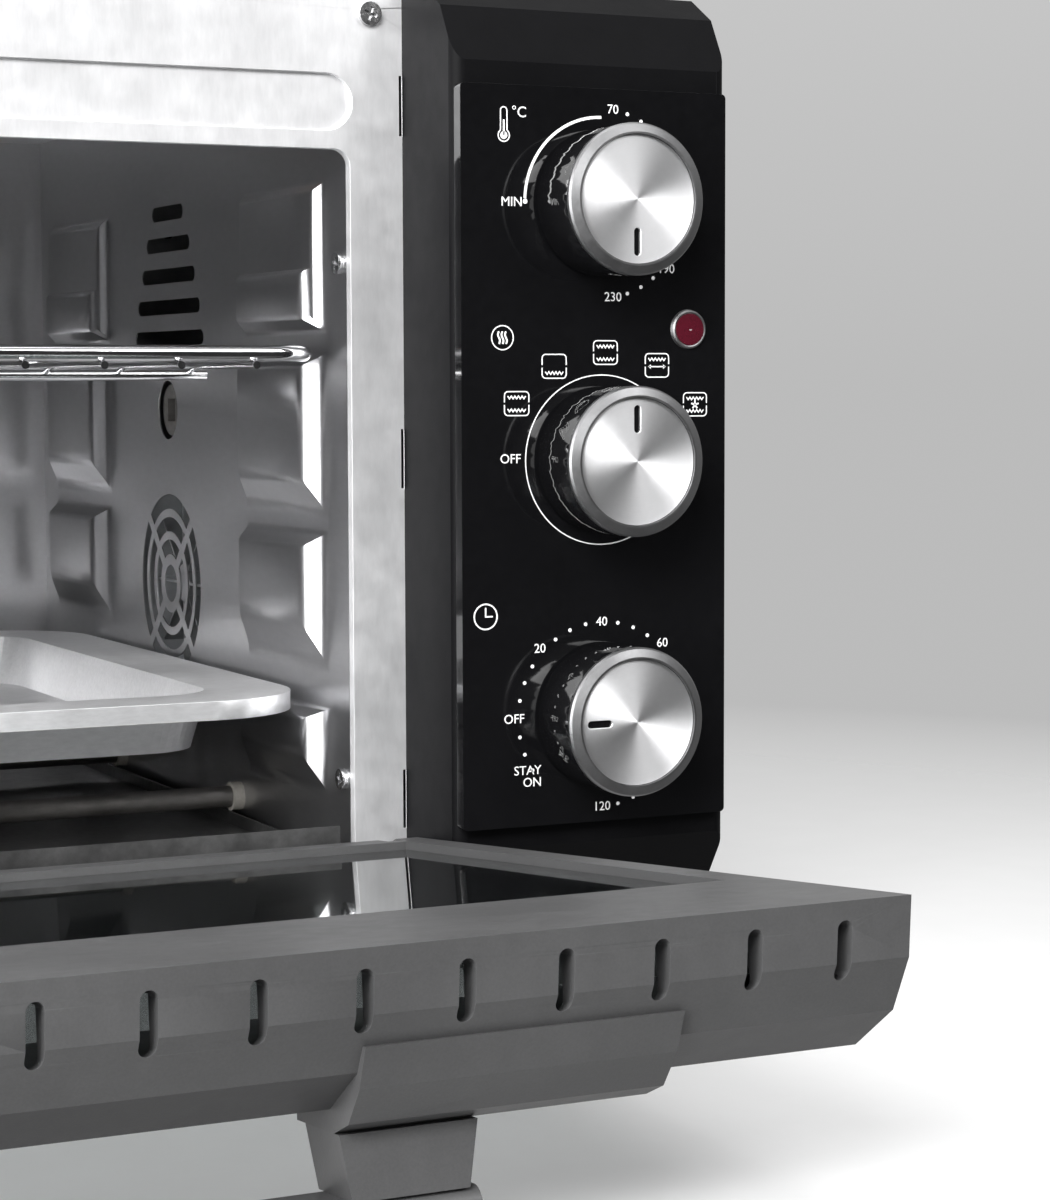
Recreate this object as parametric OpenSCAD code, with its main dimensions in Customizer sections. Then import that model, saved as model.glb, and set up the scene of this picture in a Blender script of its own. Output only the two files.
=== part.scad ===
// Counter-top toaster oven with a drop-down glass door and a control housing on its right.
// Working frame: X = 0 at the left side of the control housing, Y = 0 at the front face of the
// control plate and growing towards the back, Z = 0 at the bottom edge of the control plate.
// home() moves that frame to the part frame, whose origin is on the table below the middle.

/* [Cabinet] */
// Width of the oven left of the control housing
oven_w = 392; // [390:1:396]
// Width of the control housing
housing_w = 96; // [95:1:110]
// Lowest point of the cabinet, below the plate's bottom edge
base_drop = 32; // [31:0.5:34]
// Top of the cabinet above the plate's bottom edge
cabinet_top = 265; // [264:0.5:270]
// Depth of the cabinet behind the front frame
shell_d = 360; // [355:1:380]
// Radius of the cabinet's top corners
corner_r = 12; // [8:1:14]
// Sheet thickness of the cabinet
sheet_t = 0.6; // [0.5:0.1:1]
// Height of the feet
foot_h = 25; // [18:1:35]

/* [Cavity] */
// Inner width of the cavity
cavity_w = 356; // [354:1:357]
// Depth of the cavity behind the frame's lip
cavity_d = 338; // [334:1:345]
// Height of the cavity's ceiling above the plate's bottom edge
ceiling_z = 240; // [238:1:246]
// Depth that the rack supports are pressed inwards
bump_d = 7; // [6:0.5:8]
// Thickness of the cavity walls
wall_t = 0.5; // [0.4:0.1:0.8]
// Diameter of the heating elements
element_dia = 7.6; // [6:0.2:8.4]

/* [Door] */
// Angle that the open door stands away from closed
door_open = 84.5; // [80:0.5:86]
// Height of the door above its pivot
door_h = 283; // [280:1:284]
// Thickness of the inner glass
inner_glass_t = 3; // [2.5:0.5:3]
// Thickness of the outer glass
outer_glass_t = 4; // [3:0.5:4]
// Number of cooling slots across the top rail
slot_count = 16; // [10:1:18]
// Thickness of the handle's grip bar
grip_t = 11.5; // [9:0.5:13]

/* [Controls] */
// Height of the glossy control plate
plate_h = 230; // [228:1:232]
// Width of the glossy control plate
plate_w = 93; // [90:1:94]
// Diameter of a knob's body
knob_dia = 46; // [40:0.5:48]
// Diameter of a knob's spun disc
disc_dia = 39.2; // [34:0.2:39.4]
// Diameter of the indicator lens
lens_dia = 10; // [8:0.5:12]

/* [Rack and tray] */
// Wire diameter of the rack's outer frame
rack_wire = 5.2; // [4:0.2:5.4]
// Wire diameter of the rack's cross wires
cross_wire = 2.5; // [2:0.1:3]
// Spacing of the rack's cross wires
cross_pitch = 25; // [22:0.5:25]
// Depth of the baking tray's well
tray_depth = 18.5; // [14:0.5:19]

/* [Hidden] */
$fn = 64;
// Places that the frame, the cavity and the shell share
frame_y = 44.2;
shell_y = frame_y + sheet_t;
back_y = shell_y + shell_d;
left_x = -oven_w;
cabinet_w = oven_w + housing_w;
cabinet_h = cabinet_top + base_drop;
right_wall_x = -18;
left_wall_x = right_wall_x - cavity_w;
middle_x = (left_wall_x + right_wall_x) / 2;
cavity_y = shell_y + 3.2;
cavity_back_y = cavity_y + cavity_d;
floor_z = -17;
opening_top = 212.4;
opening_r = 5.3;
spacer_d = 12;
// The pivot line and the door's outline about it, as (y, z) with the door upright
pivot_y = 30;
pivot_z = -18;
door_left = left_x;
door_right = -2;
door_middle = (door_left + door_right) / 2;
door_w = door_right - door_left;
rim_y = 12;
door_face_y = -25.5;
rail_z = 215;
sill_z = 14;
stile_w = 10;
glass_recess = 2.5;
lug_x = -15;
lug_t = 6;
lug_gap = 0.5;
pin_r = 3;
running_gap = 0.05;
slot_pitch = 23.65;
rail_room_y = -9;
// Handle: distance of each post's middle from the door's middle, and its cross-section
post_x = 76.5;
post_w = 33;
handle_foot_w = 77;
grip_y = -57;
grip_z = 240;
grip_h = 22;
handle_screw_y = -41.5;
handle_screw_z = 250;
// The front-most point of the open door decides where the middle of the depth is
door_tip_y = pivot_y + rim_y * cos(door_open) - door_h * sin(door_open);
rear_tip_y = back_y + sheet_t + spacer_d;
home_shift = [-(left_x + housing_w) / 2, -(door_tip_y + rear_tip_y) / 2, base_drop + foot_h];
// Controls: the knobs' axes as (x, z), from the top one down
knob_x = 48.4;
temperature_z = 194.5;
function_z = 114.5;
timer_z = 34;
lens_x = 79.4;
lens_z = 155.5;
plate_t = 4.5;
housing_t = 2.5;
shaft_r = 3;
shaft_hole_r = 4.2;
knob_gap = 1.2;
disc_y = -24;
disc_t = 0.8;
ring_y = -25;
// Rack supports along the wall as [bottom, top, slope at the bottom, slope at the top, share of
// the depth], from the top row down; the top row has a shallow upper half
bump_rows = [[156, 204.5, 5, 5, 0.55], [154.5, 179.5, 7, 6.5, 1], [94.5, 149, 17, 6, 1],
    [44, 91, 20, 7, 1], [2, 33, 18, 5, 1]];
bump_y = 64.6;
bump_len = 75.4;
bump_mirror_y = 216;
end_slope = 10.5;
slope_steps = 6;
// Heating elements as (y, z)
upper_elements = [[104, 233], [224, 233]];
lower_elements = [[150, -7], [282, -7]];
elements = concat(upper_elements, lower_elements);
fan_y = 223;
fan_z = 64;
spit_y = 224;
spit_z = 129;
spit_hole_r = 11;
louvre_w = [77, 70, 60, 49, 35];
rack_z = 148.3;
rack_edge = 4.6;
rack_y = 55;
rack_d = 300;
rack_corner_r = 12;
tray_rim_z = 37.5;
tray_lip_h = 6.2;
tray_t = 0.8;
tray_x = left_wall_x + 3.5;
tray_w = cavity_w - 7;
tray_y = 62;
tray_d = 290;
tray_inset = 26;
gland_x = 60;
gland_z = 8;
gland_bore_r = 4;
foot_xs = [left_x + 40, housing_w - 40];
foot_ys = [84, 366];
spacer_xs = [left_x + 52, housing_w - 52];
spacer_z = 205;

// ---- Helpers ----

module home() translate(home_shift) children();

// Extrudes an outline drawn as (y, z) along X
module along_x(x, length)
    translate([x, 0, 0]) rotate([90, 0, 90]) linear_extrude(length) children();

// Extrudes an outline drawn as (x, z) along Y
module along_y(y, length)
    translate([0, y + length, 0]) rotate([90, 0, 0]) linear_extrude(length) children();

// Cylinder along X from (x, y, z)
module rod_x(x, y, z, r, length)
    translate([x, y, z]) rotate([0, 90, 0]) cylinder(r = r, h = length);

// Cylinder along Y from (x, y, z)
module rod_y(x, y, z, r, length)
    translate([x, y, z]) rotate([-90, 0, 0]) cylinder(r = r, h = length);

// Rectangle with four rounded corners
module round_rect(w, h, r) {
    translate([r, 0]) square([w - 2 * r, h]);
    translate([0, r]) square([w, h - 2 * r]);
    for (x = [r, w - r], y = [r, h - r]) translate([x, y]) circle(r);
}

// Slot with round ends, centred, running along its width
module slot(w, h) {
    square([w - h, h], center = true);
    for (side = [-1, 1]) translate([side * (w - h) / 2, 0]) circle(d = h);
}

// Cabinet outline with round top corners; inset moves the sides and the top in
module cabinet_outline(inset = 0, bottom = 0) {
    w = cabinet_w - 2 * inset;
    h = cabinet_h - inset - bottom;
    r = corner_r - inset;
    translate([left_x + inset, -base_drop + bottom]) {
        square([w, h - r]);
        translate([r, 0]) square([w - 2 * r, h]);
        for (x = [r, w - r]) translate([x, h - r]) circle(r);
    }
}

// Puts a part drawn with the door upright about the pivot where the open door has it
module at_door() home() translate([0, pivot_y, pivot_z]) rotate([door_open, 0, 0]) children();

// The part and its mirror image about the plane at x
module both_sides(x) {
    children();
    translate([2 * x, 0, 0]) mirror([1, 0, 0]) children();
}

// ---- Front frame and cavity ----

module opening_outline(grow) {
    translate([left_wall_x - grow, floor_z - grow])
        round_rect(cavity_w + 2 * grow, opening_top - floor_z + 2 * grow, opening_r + grow);
}

// Recessed stiffening bead above the opening
module bead_outline(grow) translate([middle_x, 227]) slot(358 + 2 * grow, 18 + 2 * grow);

module front_frame() {
    bead_d = 1.6;
    home() color("gainsboro") difference() {
        union() {
            along_y(frame_y, sheet_t) cabinet_outline();
            along_y(shell_y, 3) difference() {
                opening_outline(0.8);
                opening_outline(0);
            }
            along_y(shell_y, bead_d) bead_outline(0.8);
        }
        along_y(frame_y - 1, sheet_t + 2) opening_outline(0);
        along_y(frame_y - 1, bead_d + 1) bead_outline(0);
        // Aperture behind the control housing
        along_y(frame_y - 1, sheet_t + 2) translate([10, -12]) round_rect(housing_w - 20, 254, 6);
        // Latch notches beside the control housing
        for (z = [-5, 105, 217]) translate([-1, frame_y - 1, z]) cube([1, sheet_t + 2, 19]);
        // Slots for the hinge lugs
        both_sides(door_middle) translate([lug_x - 0.2, frame_y - 1, -24.2]) cube([lug_t + 0.4, 4, 12.4]);
        for (x = [-11.1, left_x + 9.1]) rod_y(x, frame_y - 1, 254.9, 1.6, 4);
    }
}

// Points of a soft slope from (0, 0) up to (length, height)
function soft_slope(length, height) = [for (i = [0 : slope_steps]) let (t = i / slope_steps)
    [length * t, height * t * t * (3 - 2 * t)]];

// Outline across a support: height over the wall against the distance along it
function support_outline(from, to, rise, fall, depth) = concat([[from, -1]],
    [for (p = soft_slope(rise, depth)) [from + p[0], p[1]]],
    [for (i = [slope_steps : -1 : 0]) let (p = soft_slope(fall, depth)[i]) [to - p[0], p[1]]],
    [[to, -1]]);

// Support pressed out of the right wall, soft all round
module bump(row) {
    depth = row[4] * bump_d;
    end = end_slope * row[4];
    intersection() {
        along_y(bump_y, bump_len) polygon([for (p = support_outline(row[0], row[1], row[2], row[3], depth))
            [right_wall_x - p[1], p[0]]]);
        translate([0, 0, row[0]]) linear_extrude(row[1] - row[0])
            polygon([for (p = support_outline(bump_y, bump_y + bump_len, end, end, depth))
                [right_wall_x - p[1], p[0]]]);
    }
}

// The front supports and their mirror images further back
module bump_pairs() for (row = bump_rows) {
    bump(row);
    translate([0, 2 * bump_mirror_y, 0]) mirror([0, 1, 0]) bump(row);
}

// A side wall as the right one has it, with its supports and the elements' holes
module side_wall() {
    difference() {
        union() {
            translate([right_wall_x, cavity_y, floor_z]) cube([wall_t, cavity_d, ceiling_z - floor_z]);
            bump_pairs();
        }
        translate([wall_t, 0, 0]) bump_pairs();
        translate([right_wall_x + wall_t, cavity_y, floor_z]) cube([2, cavity_d, ceiling_z - floor_z]);
        for (at = elements) rod_x(right_wall_x - 1, at[0], at[1], 5, 3);
        for (z = [11, 177]) rod_x(right_wall_x - 1, 53, z, 1.6, 3);
    }
}

// Quarter-arc slots about the fan, with four spokes left between them
module fan_grille() translate([fan_y, fan_z]) {
    circle(7);
    difference() {
        for (r = [11, 19.5, 28]) difference() {
            circle(r + 5.5);
            circle(r);
        }
        for (turn = [45, 135]) rotate(turn) square([80, 4], center = true);
    }
}

module cavity_right_wall() home() color("darkgray") difference() {
    side_wall();
    along_x(right_wall_x - 1, 3) fan_grille();
    // Louvres above the spit's socket, shorter towards the top
    for (i = [0 : 4])
        along_x(right_wall_x - 1, 3) translate([222, 155.7 + 11.6 * i]) slot(louvre_w[i], 5.5);
    rod_x(right_wall_x - 1, spit_y, spit_z, spit_hole_r, 3);
    rod_x(right_wall_x - 1, 120, 231, 3.1, 3);
}

module cavity_left_wall() home() color("darkgray")
    translate([2 * middle_x, 0, 0]) mirror([1, 0, 0]) side_wall();

// Sheet across the cavity with its underside at z
module cavity_sheet(z) home() color("darkgray")
    translate([left_wall_x - wall_t, cavity_y, z]) cube([cavity_w + 2 * wall_t, cavity_d, wall_t]);

module cavity_ceiling() cavity_sheet(ceiling_z);

module cavity_floor() cavity_sheet(floor_z - wall_t);

// Back wall with a shallow panel pressed backwards to stiffen it
module cavity_back_wall() {
    margin = 34;
    press_d = 5;
    home() color("darkgray") difference() {
        union() {
            translate([left_wall_x - wall_t, cavity_back_y, floor_z - wall_t])
                cube([cavity_w + 2 * wall_t, wall_t, ceiling_z - floor_z + 2 * wall_t]);
            along_y(cavity_back_y, press_d) translate([left_wall_x + margin, 20])
                round_rect(cavity_w - 2 * margin, 190, 16);
        }
        along_y(cavity_back_y - 1, press_d + 1 - wall_t)
            translate([left_wall_x + margin + wall_t, 20 + wall_t])
                round_rect(cavity_w - 2 * (margin + wall_t), 190 - 2 * wall_t, 16 - wall_t);
    }
}

// Pan for crumbs on the cavity's floor, with an upturned front lip
module crumb_tray() {
    w = cavity_w - 9;
    home() color("silver") translate([middle_x - w / 2, cavity_y - 2.2, floor_z]) {
        cube([w, cavity_d - 6, 0.6]);
        cube([w, 0.6, 14]);
        for (x = [0, w - 0.6]) translate([x, 0, 0]) cube([0.6, cavity_d - 6, 5]);
        translate([0, cavity_d - 6.6, 0]) cube([w, 0.6, 5]);
    }
}

// ---- Cabinet ----

// Column of upright ventilation slots as (y, z)
module side_vents(y) for (i = [0 : 11], z = [26, 58]) translate([y + 9 * i, z]) rotate(90) slot(24, 3.4);

module cabinet_shell() home() color("gray") difference() {
    along_y(shell_y, shell_d) difference() {
        cabinet_outline(0, sheet_t);
        cabinet_outline(sheet_t, 0);
    }
    along_x(housing_w - 3, 6) side_vents(230);
    along_x(left_x - 3, 6) side_vents(230);
    // Rows of slots in the top above the control compartment
    for (i = [0 : 7])
        translate([housing_w - 48, 250 + 14 * i, cabinet_top - 3]) linear_extrude(6) slot(44, 4);
}

module back_panel() home() color("gray") difference() {
    along_y(back_y, sheet_t) cabinet_outline();
    for (i = [0 : 9], x = [left_x + 110, left_x + 300])
        along_y(back_y - 1, 4) translate([x, 60 + 14 * i]) slot(120, 4);
    rod_y(gland_x, back_y - 1, gland_z, 7, 4);
    for (x = [left_x + 14, middle_x, housing_w - 14], z = [-22, 250]) rod_y(x, back_y - 1, z, 1.6, 4);
    for (x = spacer_xs) rod_y(x, back_y - 1, spacer_z, 2.6, 4);
}

module base_pan() home() color("gray") difference() {
    translate([left_x, shell_y, -base_drop]) cube([cabinet_w, shell_d, sheet_t]);
    for (i = [0 : 9], x = [left_x + 120, left_x + 270])
        translate([x, 130 + 18 * i, -base_drop - 1]) linear_extrude(4) slot(90, 5);
    for (x = foot_xs, y = foot_ys) translate([x, y, -base_drop - 1]) cylinder(r = 2.1, h = 4);
}

module feet() home() color("black") for (x = foot_xs, y = foot_ys) difference() {
    translate([x, y, -base_drop - foot_h + 3]) cylinder(r1 = 13, r2 = 16, h = foot_h - 3);
    translate([x, y, -base_drop - foot_h + 2]) cylinder(r = 8, h = 6);
    translate([x, y, -base_drop - foot_h + 2]) cylinder(r = 2, h = foot_h);
}

module foot_pads() home() color("dimgray") for (x = foot_xs, y = foot_ys) {
    translate([x, y, -base_drop - foot_h]) cylinder(r = 12, h = 3);
    translate([x, y, -base_drop - foot_h + 3]) difference() {
        cylinder(r = 7.9, h = 2);
        cylinder(r = 5, h = 3);
    }
}

module foot_screws() home() color("silver") for (x = foot_xs, y = foot_ys) {
    translate([x, y, -base_drop - foot_h + 8 - 2.4]) cylinder(r = 4, h = 2.4);
    translate([x, y, -base_drop - foot_h + 8]) cylinder(r = 2, h = foot_h);
}

module rear_spacers() home() color("black") for (x = spacer_xs) {
    translate([x, rear_tip_y, spacer_z]) rotate([90, 0, 0]) cylinder(r1 = 7, r2 = 9, h = spacer_d);
    rod_y(x, back_y - 3, spacer_z, 2.6, 5);
}

module cord_gland() home() color("black") difference() {
    union() {
        rod_y(gland_x, back_y - 5, gland_z, 7, 12);
        rod_y(gland_x, back_y - 5, gland_z, 9, 5);
        rod_y(gland_x, back_y + sheet_t, gland_z, 9.5, 4);
    }
    rod_y(gland_x, back_y - 6, gland_z, gland_bore_r, 20);
}

module back_screws() home() color("silver")
    for (x = [left_x + 14, middle_x, housing_w - 14], z = [-22, 250]) {
        rod_y(x, back_y + sheet_t, z, 3.6, 1.8);
        rod_y(x, back_y - 7, z, 1.6, 9);
    }

module frame_screws() home() color("silver") for (x = [-11.1, left_x + 9.1]) difference() {
    union() {
        rod_y(x, frame_y - 1.5, 254.9, 3.75, 1.5);
        rod_y(x, frame_y - 1, 254.9, 1.6, 8);
    }
    for (turn = [20, 110])
        translate([x, frame_y - 1.5, 254.9]) rotate([0, turn, 0]) cube([4.4, 1.6, 1], center = true);
}

module cavity_screws() home() color("silver") both_sides(middle_x) for (z = [11, 177]) difference() {
    union() {
        rod_x(right_wall_x - 1.8, 53, z, 3.4, 1.8);
        rod_x(right_wall_x - 1, 53, z, 1.6, 6);
    }
    for (turn = [15, 105])
        translate([right_wall_x - 1.8, 53, z]) rotate([turn, 0, 0]) cube([1.6, 4, 1], center = true);
}

// ---- Heating and the hidden machinery ----

module heating_elements(places) home() color("dimgray") for (at = places)
    rod_x(left_wall_x - 9, at[0], at[1], element_dia / 2, cavity_w + 18);

module upper_heating_elements() heating_elements(upper_elements);

module lower_heating_elements() heating_elements(lower_elements);

module element_insulators() home() color("ivory") both_sides(middle_x)
    for (at = elements) difference() {
        union() {
            rod_x(right_wall_x - 4, at[0], at[1], 5, 10);
            rod_x(right_wall_x + wall_t, at[0], at[1], 6.5, 3);
        }
        rod_x(right_wall_x - 5, at[0], at[1], element_dia / 2, 14);
    }

module element_terminals() home() color("goldenrod") both_sides(middle_x)
    for (at = elements) translate([right_wall_x + 9, at[0] - 3.2, at[1] - 0.5]) cube([7, 6.4, 1]);

module thermostat_bulb() home() color("peru") {
    rod_x(-44, 120, 231, 3, 36);
    rod_x(-8, 120, 231, 1.2, 20);
}

// Round housing of a rotary control with its neck, terminals and shaft bore
module rotary_control(z, r, depth) difference() {
    union() {
        rod_y(knob_x, plate_t + housing_t, z, 6, 5);
        rod_y(knob_x, plate_t + housing_t + 3, z, r, depth);
        for (side = [-1, 1])
            translate([knob_x + side * 9 - 3, plate_t + housing_t + 3 + depth, z - 0.4]) cube([6, 7, 0.8]);
    }
    rod_y(knob_x, plate_t, z, shaft_r + running_gap, 18);
}

module thermostat_body() home() color("tan") rotary_control(temperature_z, 15, 20);

module selector_switch() home() color("linen") rotary_control(function_z, 17, 18);

module timer_body() home() color("silver") rotary_control(timer_z, 20, 24);

module fan_shroud() home() color("silver") difference() {
    translate([right_wall_x + wall_t, fan_y - 40, fan_z - 39]) cube([20, 80, 78]);
    translate([right_wall_x, fan_y - 39, fan_z - 38]) cube([20, 78, 76]);
    rod_x(0, fan_y, fan_z, 6, 10);
}

module fan_impeller() home() color("silver") {
    rod_x(-13, fan_y, fan_z, 7, 11);
    rod_x(-2.1, fan_y, fan_z, 2.5, 20);
    for (i = [0 : 7])
        translate([0, fan_y, fan_z]) rotate([45 * i, 0, 0]) translate([-13, -0.5, 6.5]) cube([11, 1, 26]);
}

module fan_motor() home() color("darkslategray") difference() {
    translate([right_wall_x + wall_t + 20, fan_y - 24, fan_z - 20]) cube([34, 48, 40]);
    rod_x(0, fan_y, fan_z, 2.5 + running_gap, 20);
}

module rotisserie_motor() home() color("silver") difference() {
    rod_x(right_wall_x + wall_t + 10, spit_y, spit_z, 22, 30);
    rod_x(right_wall_x, spit_y, spit_z, 4 + running_gap, 30);
}

// Square drive socket that the spit's end goes into
module rotisserie_socket() home() color("dimgray") difference() {
    union() {
        rod_x(right_wall_x + 1.5, spit_y, spit_z, 9.5, 8.5);
        rod_x(right_wall_x + 8, spit_y, spit_z, 4, 16);
    }
    translate([right_wall_x + 0.5, spit_y - 4.2, spit_z - 4.2]) cube([7, 8.4, 8.4]);
}

module terminal_block() home() color("ivory") difference() {
    translate([30, back_y - 22, 30]) cube([46, 22, 18]);
    for (i = [0 : 2]) translate([38 + 15 * i, back_y - 14, 36]) cylinder(r = 3, h = 20);
}

module thermal_cutout() home() color("silver") {
    rod_x(right_wall_x + wall_t, 168, 214, 8, 4);
    rod_x(right_wall_x + wall_t + 4, 168, 214, 6.5, 6);
}

// ---- Hinge ----

module hinge_lugs() home() color("silver") both_sides(door_middle) difference() {
    along_x(lug_x, lug_t) {
        translate([pivot_y, pivot_z]) circle(6);
        translate([pivot_y, pivot_z - 6]) square([32, 12]);
    }
    rod_x(lug_x - 1, pivot_y, pivot_z, pin_r, lug_t + 2);
}

module hinge_pins() home() color("silver") both_sides(door_middle)
    rod_x(lug_x - 5.5, pivot_y, pivot_z, pin_r, lug_t + 11);

// ---- Door, drawn upright about its pivot ----

// Facets of the door's top edge, from the inner rim over to the front face
function top_edge() = [[rim_y, door_h], [-2.5, door_h - 2.2], [-15.5, door_h - 10],
    [door_face_y, door_h - 27]];

module door_profile() {
    polygon(concat(top_edge(), [[door_face_y, -2], [-14, -12], [0, -12], [0, 0], [rim_y, 0]]));
    intersection() {
        circle(rim_y);
        translate([0, -rim_y]) square(rim_y + 1);
    }
}

module window(x_inset, z0, z1, y, depth)
    translate([door_left + x_inset, y, z0]) cube([door_w - 2 * x_inset, depth, z1 - z0]);

module door_frame() at_door() color([0.1, 0.1, 0.11]) difference() {
    along_x(door_left, door_w) door_profile();
    // Rebates of the two panes and the room between them
    window(stile_w, sill_z, rail_z, rim_y - glass_recess, glass_recess + 1);
    inner_glass_space();
    window(16, sill_z + 6, rail_z - 6, door_face_y + outer_glass_t, 40);
    outer_glass_space();
    window(24, 22, 226, door_face_y - 1, 6);
    // Air room in the top rail and its cooling slots
    window(16, rail_z - 8, door_h - 8, rail_room_y, 15);
    window(16, rail_z - 8, 222, door_face_y + outer_glass_t, 20);
    for (i = [0 : slot_count - 1])
        translate([door_middle + slot_pitch * (i - (slot_count - 1) / 2), 0.5, door_h - 12])
            rotate(90) linear_extrude(20) slot(14, 4);
    both_sides(door_middle) {
        // Room for the lug through the whole swing
        along_x(lug_x - lug_gap, lug_t + 2 * lug_gap) translate([-8, -20]) square(28);
        rod_x(lug_x - 6, 0, 0, pin_r + running_gap, lug_t + 12);
    }
    for (side = [-1, 1]) rod_y(door_middle + side * post_x, -30, handle_screw_z, 2.1, 30);
}

module inner_glass_space()
    window(stile_w - 3, sill_z - 3, rail_z + 3, rim_y - glass_recess - inner_glass_t, inner_glass_t);

module outer_glass_space() window(20, 18, 232, door_face_y, outer_glass_t);

module door_inner_glass() at_door() color([0.55, 0.62, 0.62, 0.35]) inner_glass_space();

module door_outer_glass() at_door() color([0.35, 0.4, 0.4, 0.4]) outer_glass_space();

// ---- Handle, drawn with the door upright ----

module handle_post() difference() {
    union() {
        // Foot that wraps the door's top edge and runs on outwards past the post
        along_x(door_middle + post_x - post_w / 2, handle_foot_w) polygon([
            [-9.5, door_h - 4.8], [-19, door_h - 9.2], [-27.5, door_h - 16.5], [-30.5, door_h - 25],
            [-30.5, 236], [door_face_y, 236], [door_face_y, door_h - 27], [-15.5, door_h - 10],
            [-9.5, door_h - 6.4]]);
        // Post that tapers towards the grip
        translate([door_middle + post_x, 0, grip_z + 1]) linear_extrude(grip_h - 2) polygon([
            [-post_w / 2, door_face_y - 5], [post_w / 2, door_face_y - 5],
            [post_w / 2 - 2.5, grip_y + grip_t], [-post_w / 2 + 2.5, grip_y + grip_t]]);
    }
    rod_y(door_middle + post_x, handle_screw_y, handle_screw_z, 2, 40);
}

module handle_posts() at_door() color([0.09, 0.09, 0.1]) both_sides(door_middle) handle_post();

module handle_grip() at_door() color([0.09, 0.09, 0.1])
    along_x(door_middle - post_x - post_w / 2, 2 * post_x + post_w)
        translate([grip_y, grip_z]) round_rect(grip_t, grip_h, 4.5);

module handle_screws() at_door() color("silver") for (side = [-1, 1]) {
    rod_y(door_middle + side * post_x, rail_room_y, handle_screw_z, 4, 2.4);
    rod_y(door_middle + side * post_x, handle_screw_y, handle_screw_z, 2, rail_room_y - handle_screw_y + 1);
}

// ---- Rack and tray ----

// Round wire bent into a rounded rectangle w by d about its centre
module wire_loop(w, d, r, wire) {
    for (side = [-1, 1]) {
        translate([side * w / 2, 0, 0]) rotate([90, 0, 0]) cylinder(d = wire, h = d - 2 * r, center = true);
        translate([0, side * d / 2, 0]) rotate([0, 90, 0]) cylinder(d = wire, h = w - 2 * r, center = true);
    }
    for (turn = [0 : 3]) {
        sx = (turn == 0 || turn == 3) ? 1 : -1;
        sy = (turn < 2) ? 1 : -1;
        translate([sx * (w / 2 - r), sy * (d / 2 - r), 0]) rotate(90 * turn)
            rotate_extrude(angle = 90) translate([r, 0]) circle(d = wire);
    }
}

module wire_rack() home() color("silver") {
    w = cavity_w - 2 * rack_edge - rack_wire;
    cross_z = rack_z - rack_wire / 2 - cross_wire / 2 + 0.1;
    translate([middle_x, rack_y + rack_d / 2, rack_z])
        wire_loop(w, rack_d - rack_wire, rack_corner_r, rack_wire);
    for (i = [-6 : 6])
        rod_y(middle_x + cross_pitch * i, rack_y - 0.4, cross_z, cross_wire / 2, rack_d + 0.8);
    for (y = [rack_y + 62, rack_y + rack_d - 62])
        rod_x(middle_x - 155, y, cross_z - cross_wire / 2 - 1.6, 1.8, 310);
}

module tray_outline(inset, r) translate([tray_x + inset, tray_y + inset - 4 * sign(inset)])
    round_rect(tray_w - 2 * inset, tray_d - 2 * inset + 8 * sign(inset), r);

// Solid that narrows downwards from the rim's plane to the tray's bottom
module tray_well(inset, depth) {
    w = tray_w - 2 * tray_inset - 2 * inset;
    d = tray_d - 2 * tray_inset + 8 - 2 * inset;
    taper = 4.5;
    translate([middle_x, tray_y + tray_d / 2, tray_rim_z - depth])
        linear_extrude(depth, scale = [w / (w - 2 * taper), d / (d - 2 * taper)], slices = 1)
            translate([taper - w / 2, taper - d / 2])
                round_rect(w - 2 * taper, d - 2 * taper, 20, $fn = 48);
}

module baking_tray() home() color("silver") difference() {
    union() {
        translate([0, 0, tray_rim_z - tray_t]) linear_extrude(tray_t) tray_outline(0, 36);
        translate([0, 0, tray_rim_z - tray_lip_h]) linear_extrude(tray_lip_h) difference() {
            tray_outline(0, 36);
            translate([tray_x + 1.2, tray_y + 1.2]) round_rect(tray_w - 2.4, tray_d - 2.4, 34.8);
        }
        tray_well(0, tray_depth + tray_t);
    }
    translate([0, 0, 0.01]) tray_well(tray_t, tray_depth);
}

// ---- Controls ----

// Outline of the housing's side as (y, z), t inside its surface
function housing_side(t, y_end) = [[plate_t + t, -7 + 0.4 * t], [plate_t + t, 237.5 - 0.4 * t],
    [14.5 + 0.8 * t, cabinet_top - 10 - 0.7 * t], [27.5 + 0.3 * t, cabinet_top - 2.2 - t],
    [frame_y - 0.2, cabinet_top - t], [y_end, cabinet_top - t], [y_end, -base_drop + t],
    [frame_y - 0.2, -base_drop + t], [27.5 + 0.3 * t, -base_drop + 2 + t],
    [14.5 + 0.8 * t, -base_drop + 10 + 0.7 * t]];

module control_housing() home() color([0.1, 0.1, 0.11]) difference() {
    intersection() {
        along_x(0, housing_w) polygon(housing_side(0, frame_y));
        // Round front corners in plan
        translate([0, 0, -base_drop - 1]) linear_extrude(cabinet_h + 2) union() {
            translate([0, plate_t]) round_rect(housing_w, 30, 4);
            translate([0, plate_t + 10]) square([housing_w, 40]);
        }
    }
    along_x(housing_t, housing_w - 2 * housing_t) polygon(housing_side(housing_t, frame_y + 1));
    for (z = [temperature_z, function_z, timer_z]) rod_y(knob_x, 0, z, shaft_hole_r, 10);
    rod_y(lens_x, 0, lens_z, lens_dia / 2, 10);
}

module control_plate() home() color([0.03, 0.03, 0.035]) difference() {
    along_y(0, plate_t) round_rect(plate_w, plate_h, 1.5);
    for (z = [temperature_z, function_z, timer_z]) rod_y(knob_x, -1, z, shaft_hole_r, 10);
    rod_y(lens_x, -1, lens_z, lens_dia / 2, 10);
}

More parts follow.
